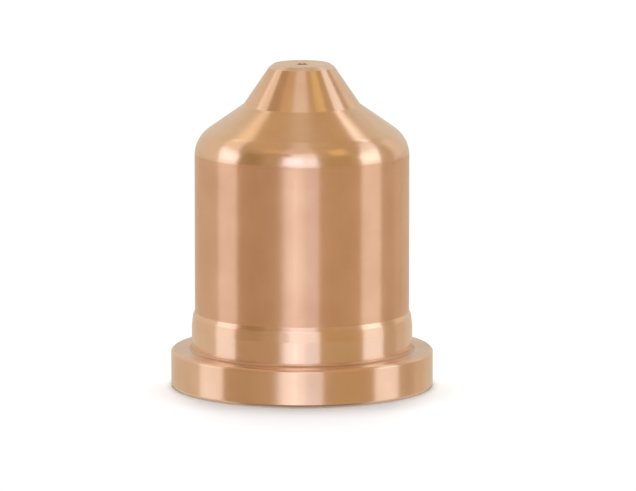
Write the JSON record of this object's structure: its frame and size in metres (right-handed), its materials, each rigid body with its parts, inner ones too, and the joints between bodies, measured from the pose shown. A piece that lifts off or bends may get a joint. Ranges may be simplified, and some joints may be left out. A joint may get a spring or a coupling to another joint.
{
  "type": "plasma torch nozzle",
  "caption": "Turned copper nozzle for a plasma cutting torch: a clamped flange, a locating collar, a smooth barrel and a conical nose with a fine exit orifice.",
  "frame": {"origin": "centre of the flat rear face that the nozzle stands on", "axes": "+Z along the nozzle's axis, from the rear face towards the tip and the exit orifice"},
  "size_m": [0.019, 0.019, 0.0235],
  "materials": {
    "copper": "fine-turned bare tellurium copper, satin on the barrel and brighter on the flange, collar and nose"
  },
  "bodies": {
    "root": {"nozzle": "copper"}
  },
  "joints": []
}
